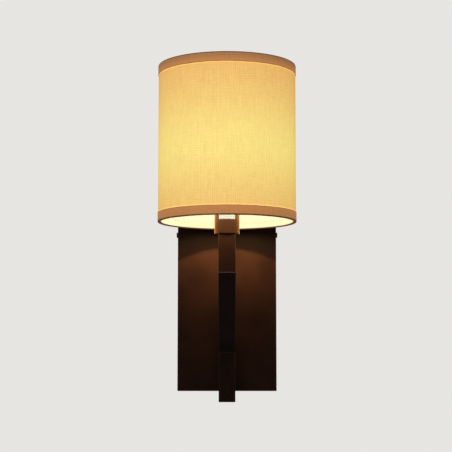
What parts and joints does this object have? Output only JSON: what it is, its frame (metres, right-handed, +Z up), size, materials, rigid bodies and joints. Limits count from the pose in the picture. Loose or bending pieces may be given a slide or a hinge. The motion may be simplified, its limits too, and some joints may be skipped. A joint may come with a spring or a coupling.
{
  "type": "wall lamp",
  "caption": "Wall lamp: a tall rectangular back plate, a mitred square arm that steps out and up to a round socket cup, and an open fabric drum shade round a screw-in bulb.",
  "frame": {"origin": "on the wall plane, at the middle of the wall bracket's two slots", "axes": "+Z up the wall, +Y into the wall, the lamp's front faces -Y, +X to the right as seen from the front"},
  "size_m": [0.16, 0.197, 0.3891],
  "materials": {
    "bronze_paint": "satin dark bronze paint",
    "zinc_steel": "zinc plated steel",
    "brass": "plain brass",
    "tinned_copper": "tinned",
    "white_plastic": "moulded",
    "black_plastic": "moulded phenolic",
    "ceramic": "glazed ceramic",
    "black_rubber": "matt",
    "brown_sleeve": "wire insulation",
    "blue_sleeve": "wire insulation",
    "green_sleeve": "wire insulation",
    "linen": "slub linen",
    "linen_hem": "folded linen",
    "shade_sheet": "white translucent sheet",
    "white_wire": "white powder coat",
    "opal_glass": "inside frosted",
    "clear_glass": "clear",
    "nickel": "rolled thread",
    "black_glass": "fused glass",
    "solder": "solder",
    "tungsten": "drawn wire"
  },
  "bodies": {
    "root": {"back_plate": "bronze_paint", "arm": "bronze_paint", "arm_end_cap": "bronze_paint", "socket_cup": "bronze_paint", "side_screws": "bronze_paint", "wall_bracket": "zinc_steel", "arm_clamp_bar": "zinc_steel", "arm_screws": "zinc_steel", "arm_washers": "zinc_steel", "arm_top_plug": "zinc_steel", "threaded_nipple": "zinc_steel", "nipple_washer": "zinc_steel", "nipple_nut": "zinc_steel", "terminal_screws": "zinc_steel", "terminal_fixing_screws": "zinc_steel", "earth_screw": "brass", "terminal_sleeves": "brass", "screw_shell": "brass", "centre_contact": "brass", "earth_tag": "tinned_copper", "terminal_block": "white_plastic", "holder_cap": "black_plastic", "holder_body": "black_plastic", "shade_clamp_ring": "black_plastic", "holder_core": "ceramic", "wire_grommet": "black_rubber", "live_wire": "brown_sleeve", "neutral_wire": "blue_sleeve", "earth_wire": "green_sleeve"},
    "shade": {"shade_liner": "shade_sheet", "shade_fabric": "linen", "shade_bottom_hem": "linen_hem", "shade_top_hem": "linen_hem", "shade_top_ring": "white_wire", "shade_bottom_ring": "white_wire", "carrier_arms": "white_wire", "carrier_ring": "white_wire"},
    "bulb": {"bulb_glass": "opal_glass", "bulb_cap": "nickel", "bulb_insulator": "black_glass", "bulb_tip": "solder", "bulb_stem": "clear_glass", "bulb_filament": "tungsten"}
  },
  "joints": [
    {"name": "shade_turn", "type": "hinge", "parent": "root", "child": "shade", "pos_m": [0, -0.117, 0.026], "axis": [0, 0, 1], "continuous": true},
    {"name": "bulb_lift", "type": "slide", "parent": "root", "child": "bulb", "axis": [0, 0, 1], "range_m": [0, 0.18]}
  ]
}
